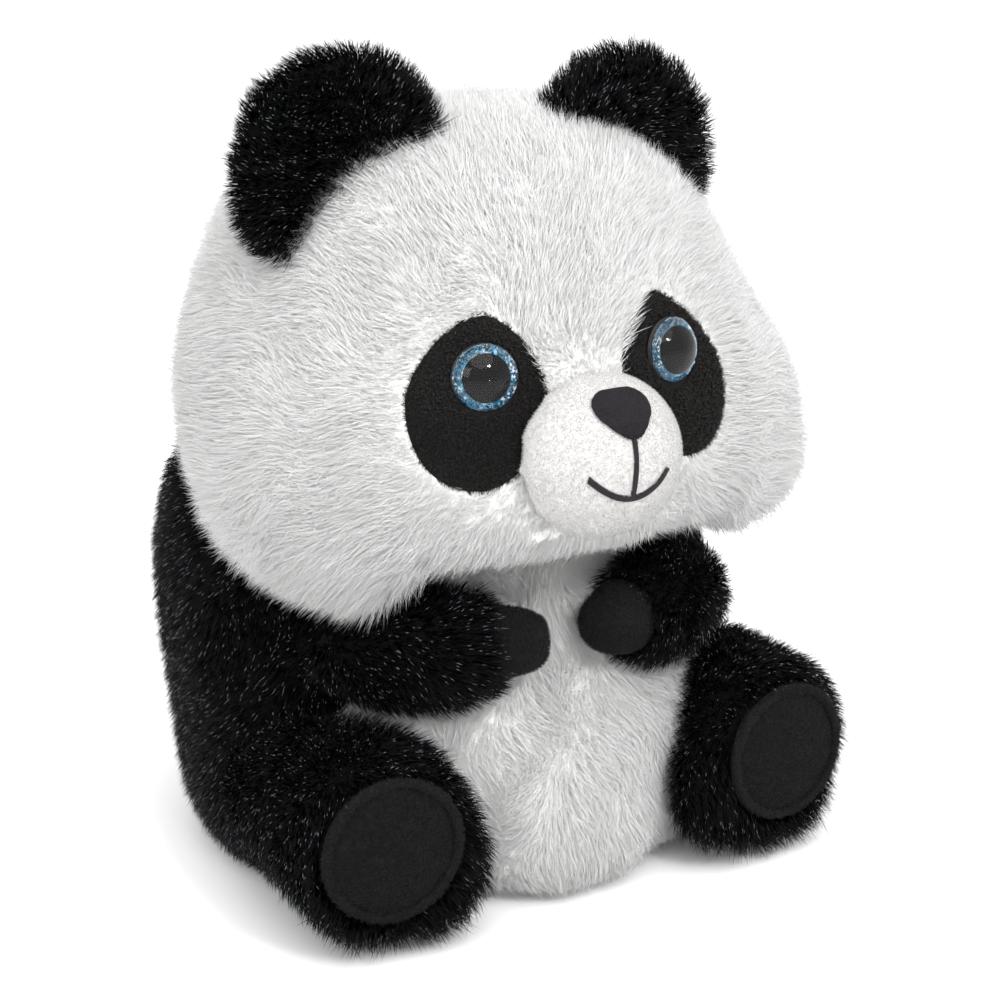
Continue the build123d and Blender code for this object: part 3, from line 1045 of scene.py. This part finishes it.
def white_head_pile():
    rng = np.random.default_rng(7)
    points, normals = Surface(head.data).scatter(3.5, rng)
    clear = rng.uniform(size=len(points)) < 1 - 0.3 * fade(points[:, 1], 0.0, 0.03)
    clear &= ~inside(muzzle, points, 1 * MM, normals)
    clear &= ~inside(whole_torso, points, 1.2 * MM, normals)
    for side in SIDES:
        clear &= patch_share(side, points) > 0.96
        clear &= ~inside(ears[side], points, 2 * MM, normals)
    points, normals = points[clear], normals[clear]
    away = unit(points - MUZZLE_CENTRE)
    flow = away + np.array([0, 0.15, -0.2])
    near = np.linalg.norm((points - MUZZLE_CENTRE)[:, [0, 2]], axis=1)
    front = points[:, 1] < MUZZLE_CENTRE[1] + 0.02
    lengths = np.where(front, 0.45 + 0.55 * fade(near, 0.022, 0.05), 1.0)[:, None]
    for side in SIDES:
        rim = fade(patch_share(side, points), 0.95, 1.5)[:, None]
        lengths = np.minimum(lengths, 0.62 + 0.38 * rim)
    bridge = fade(-np.abs(points[:, 0]), -0.026, -0.012) * fade(points[:, 2], 0.142, 0.150)
    bridge = (bridge * fade(-points[:, 1], 0.05, 0.065))[:, None]
    lengths = lengths * (1 - bridge) + 1.15 * bridge
    fringe = fade(-points[:, 2], -0.118, -0.102) * fade(-points[:, 1], 0.0, 0.03)
    flow[:, 2] -= 0.5 * fringe
    lengths = lengths * (1 + 0.45 * fringe[:, None])
    strands = grow(points, normals, flow, WHITE_PELT, rng, lengths)
    lay_pile("head_pile", "head", WHITE_PILE, strands, rng, normals)


white_head_pile()

# ---- torso pile ----


def torso_pile():
    rng = np.random.default_rng(8)
    points, normals = torso_surface.scatter(3.2, rng)
    clear = (points[:, 2] > 1.5 * MM) | (normals[:, 2] > -0.5)
    clear &= ~inside(head, points, 1.2 * MM, normals)
    points, normals = points[clear], normals[clear]
    front = points[:, 1] < BELLY_SEAM[1]
    flow = np.tile([0.0, 0.0, -1.0], (len(points), 1))
    spread = fade(-points[:, 2], -0.02, -0.004)[:, None]
    flow += unit(points * [1, 1, 0]) * spread
    strands = grow(points[front], normals[front], flow[front], WHITE_PELT, rng)
    lay_pile("belly_pile", "torso", WHITE_PILE, strands, rng, normals[front])
    back = ~front & (rng.uniform(size=len(points)) < 0.68)
    strands = grow(points[back], normals[back], flow[back], BLACK_PELT, rng)
    lay_pile("torso_pile", "torso", BLACK_PILE, strands, rng)


torso_pile()

# ---- arms ----


def make_arm(side, seed):
    """Stuffed arm: long pile on the sleeve, short velour on the paw tip."""
    sleeve, tip, filling = f"arm_sleeve_{side}", f"paw_tip_{side}", f"arm_stuffing_{side}"
    axis = unit(np.array(middle(tip) - middle(sleeve)))
    seam = np.array(middle(sleeve))
    seam = seam + axis * ((cloud(tip) @ axis).min() - seam @ axis)
    nodes = [sleeve, tip, filling]
    arm = padded_form(
        f"arm_skin_{side}", nodes, voxel=2.5 * MM, shrink=0.8 * MM, pressure=3, cap=2 * MM, rounds=3
    )
    groove(arm, seam, axis, depth=1.0 * MM, width=2.0 * MM)
    surface = Surface(arm.data)
    paw = cut(arm, f"paw_tip_skin_{side}", seam, axis)
    body = f"arm_{side}"
    skin(arm, body, BLACK_BACKING, [sleeve, filling])
    skin(paw, body, PAD_CLOTH, [tip])
    rng = np.random.default_rng(seed)
    points, normals = surface.scatter(2.7, rng)
    clear = (points - seam) @ axis < -0.4 * MM
    clear &= ~inside(whole_torso, points, 1.5 * MM, normals)
    clear &= ~inside(head, points, 2.5 * MM, normals)
    points, normals = points[clear], normals[clear]
    flow = np.tile(axis, (len(points), 1)) + np.array([0, 0, -0.5])
    strands = grow(points, normals, flow, dict(BLACK_PELT, length=8.5), rng)
    lay_pile(f"arm_pile_{side}", body, BLACK_PILE, strands, rng)

    def past_seam(points, normals):
        return (points - seam) @ axis > 0.2 * MM

    fuzz(f"paw_fuzz_{side}", paw, body, PAD_VELOUR, seed + 1, past_seam)


for number, side in enumerate(SIDES):
    make_arm(side, 41 + 2 * number)

# ---- legs and foot pads ----


def ring_tube(name, centre, normal, radius, tube, steps=96, around=12):
    """Round welt sewn along the edge of a pad."""
    across = unit(np.cross(normal, [0.0, 0.0, 1.0]))
    up = np.cross(across, normal)
    work = bmesh.new()
    rows = []
    for step in range(steps):
        angle = 2 * pi * step / steps
        out = across * cos(angle) + up * sin(angle)
        pinch = 1 - 0.10 * abs(sin(angle * 22))
        row = []
        for turn in range(around):
            lift = 2 * pi * turn / around
            offset = (out * cos(lift) + normal * sin(lift)) * tube * pinch
            row.append(work.verts.new(Vector(centre + out * radius + offset)))
        rows.append(row)
    for step in range(steps):
        for turn in range(around):
            a, b = rows[step], rows[(step + 1) % steps]
            nxt = (turn + 1) % around
            work.faces.new([a[turn], b[turn], b[nxt], a[nxt]])
    bmesh.ops.recalc_face_normals(work, faces=work.faces)
    welt = piece_from(work, name)
    shade_smooth(welt)
    return welt


INNER_BULGE = {"left": 12 * MM, "right": 8 * MM}


def make_leg(side, seed):
    """Stuffed leg of long pile with a velour sole, a little crowned, and its welt."""
    cover, filling, pad_node = f"leg_cover_{side}", f"leg_stuffing_{side}", f"foot_pad_{side}"
    body = f"leg_{side}"
    sole = flat_normal(cloud(pad_node), (0, -1, 0))
    centre = cloud(pad_node).mean(0)
    nodes = [cover, filling]
    leg = padded_form(
        f"leg_skin_{side}", nodes, voxel=3 * MM, shrink=0.8 * MM, pressure=3, cap=2 * MM, rounds=3
    )
    co = coordinates(leg.data)
    near = fade((co - centre) @ sole, -0.02, -0.002) * fade(-co[:, 2], -0.022, -0.006)
    co += near[:, None] * (sole * 3.5 + np.array([0, 0, -2.5])) * MM
    inner = fade(-co[:, 2], -0.042, -0.014) * fade((co - centre) @ sole, -0.05, -0.015)
    inner *= fade(-(co[:, 0] - centre[0]) * SIDES[side], -0.004, 0.016)
    co[:, 0] -= inner * INNER_BULGE[side] * SIDES[side]
    co += inner[:, None] * sole * 3 * MM
    keep_above(co, 0.8 * MM)
    set_coordinates(leg.data, co)
    skin(leg, body, BLACK_BACKING, [cover, filling])
    name = f"foot_pad_skin_{side}"
    pad = padded_form(
        name, [pad_node], voxel=1.2 * MM, shrink=0.2 * MM, pressure=2, cap=1 * MM, rounds=3
    )
    co = coordinates(pad.data)
    offset = co - centre
    out = np.linalg.norm(offset - np.outer(offset @ sole, sole), axis=1)
    radius = out.max()
    crown = 1.6 * MM * np.clip(1 - (out / radius) ** 2, 0, 1) * (offset @ sole > 0)
    co += crown[:, None] * sole
    keep_above(co, 0.3 * MM)
    set_coordinates(pad.data, co)
    shade_smooth(pad)
    skin(pad, body, PAD_CLOTH, [pad_node])
    rim = centre + sole * 0.9 * MM
    welt = ring_tube(f"foot_welt_{side}", rim, sole, radius - 0.3 * MM, 1.3 * MM)
    skin(welt, body, PAD_CLOTH, [])

    def outer(points, normals):
        return normals @ sole > -0.2

    fuzz(f"foot_pad_fuzz_{side}", pad, body, PAD_VELOUR, seed + 3, outer)
    fuzz(f"foot_welt_fuzz_{side}", welt, body, dict(PAD_VELOUR, per_mm2=9), seed + 4, outer)
    rng = np.random.default_rng(seed)
    points, normals = Surface(leg.data).scatter(2.4, rng)
    offset = points - centre
    out = np.linalg.norm(offset - np.outer(offset @ sole, sole), axis=1)
    clear = (out > radius - 0.5 * MM) | (offset @ sole < -8 * MM)
    clear &= ~inside(whole_torso, points, 1.5 * MM, normals)
    clear &= (points[:, 2] > 1.5 * MM) | (normals[:, 2] > -0.8)
    points, normals = points[clear], normals[clear]
    offset = points - centre
    along = (offset @ sole)[:, None]
    near = fade(along, -0.016, 0.0)
    flow = sole + unit(offset - along * sole) * near * 0.7 + np.array([0, 0, -0.3])
    low = fade(-points[:, 2:], -0.02, -0.008)
    pelt = dict(BLACK_PELT, length=8.5, lean=0.48 + 0.25 * near * low)
    strands = grow(points, normals, flow, pelt, rng, 1 + 0.4 * near * low)
    lay_pile(f"leg_pile_{side}", body, BLACK_PILE, strands, rng)


for number, side in enumerate(SIDES):
    make_leg(side, 51 + 10 * number)

# ---- muzzle, nose and mouth ----

nose = padded_form(
    "nose_skin", ["nose_patch"], voxel=0.45 * MM, shrink=0.1 * MM, pressure=1, cap=0.4 * MM, rounds=3
)
skin(nose, "head", NOSE_CLOTH, ["nose_patch"])
fuzz("nose_fuzz", nose, "head", NOSE_VELOUR, 60)


def open_muzzle(points, normals):
    """Where neither the head nor the nose covers the muzzle."""
    covered = inside(head, points, 0.5 * MM, normals)
    return ~covered & ~inside(nose, points, 0.6 * MM, normals)


fuzz("muzzle_fuzz", muzzle, "head", MUZZLE_VELOUR, 61, open_muzzle)


def on_muzzle(x, z):
    """Point and normal on the front of the muzzle at x and z."""
    place, normal, _, _ = muzzle_tree.ray_cast(Vector((x, -0.2, z)), Vector((0, 1, 0)))
    return place, normal


def stitches(name, path, width, pitch, thick):
    """Satin stitch: short slanted threads side by side along a path on the muzzle."""
    points = [on_muzzle(x, z) for x, z in path]
    lengths = [0.0]
    for (a, _), (b, _) in zip(points, points[1:]):
        lengths.append(lengths[-1] + (b - a).length)
    count = int(lengths[-1] / pitch)
    work = bmesh.new()
    for number in range(count + 1):
        at = lengths[-1] * number / count
        index = min(max(np.searchsorted(lengths, at), 1), len(points) - 1)
        share = (at - lengths[index - 1]) / (lengths[index] - lengths[index - 1])
        place = points[index - 1][0].lerp(points[index][0], share)
        normal = points[index - 1][1].lerp(points[index][1], share).normalized()
        along = (points[index][0] - points[index - 1][0]).normalized()
        across = (along.cross(normal) + along * 0.45).normalized()
        flat = across.cross(normal).normalized()
        rows = []
        for step in range(7):
            share = step / 6 * 2 - 1
            hump = (1 - share ** 4) ** 0.5
            middle_point = place + across * width / 2 * share + normal * thick * (0.4 + 0.9 * hump)
            row = []
            for turn in range(6):
                angle = pi / 3 * turn
                swell = thick * (0.35 + 0.65 * hump)
                row.append(
                    work.verts.new(
                        middle_point
                        + flat * cos(angle) * swell * 0.8
                        + normal * sin(angle) * swell
                    )
                )
            rows.append(row)
        for a, b in zip(rows, rows[1:]):
            for turn in range(6):
                nxt = (turn + 1) % 6
                work.faces.new([a[turn], b[turn], b[nxt], a[nxt]])
        work.faces.new(rows[0])
        work.faces.new(rows[-1][::-1])
    bmesh.ops.recalc_face_normals(work, faces=work.faces)
    piece = piece_from(work, name)
    shade_smooth(piece)
    return piece


MOUTH_LOW, MOUTH_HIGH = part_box("mouth_thread")
SMILE_HALF = (MOUTH_HIGH.x - MOUTH_LOW.x) / 2 - 1.3 * MM
SMILE_LOW = MOUTH_LOW.z + 1.5 * MM
SMILE_SHIFT = -1.2 * MM
SMILE_RISE = 5.5 * MM
LINE_TOP = MOUTH_HIGH.z + 0.5 * MM
STITCH_PITCH, THREAD_THICK = 0.42 * MM, 0.32 * MM
smile = [
    (SMILE_SHIFT + SMILE_HALF * k / 20, SMILE_LOW + SMILE_RISE * (k / 20) ** 2)
    for k in range(-20, 21)
]
drop = [(SMILE_SHIFT * k / 16, LINE_TOP + (SMILE_LOW - LINE_TOP) * k / 16) for k in range(17)]
mouth = stitches("mouth_smile_stitches", smile, 1.9 * MM, STITCH_PITCH, THREAD_THICK)
skin(mouth, "head", THREAD, ["mouth_thread"])
line = stitches("mouth_line_stitches", drop, 1.6 * MM, STITCH_PITCH, THREAD_THICK)
skin(line, "head", THREAD, [])

bpy.data.objects.remove(whole_torso)
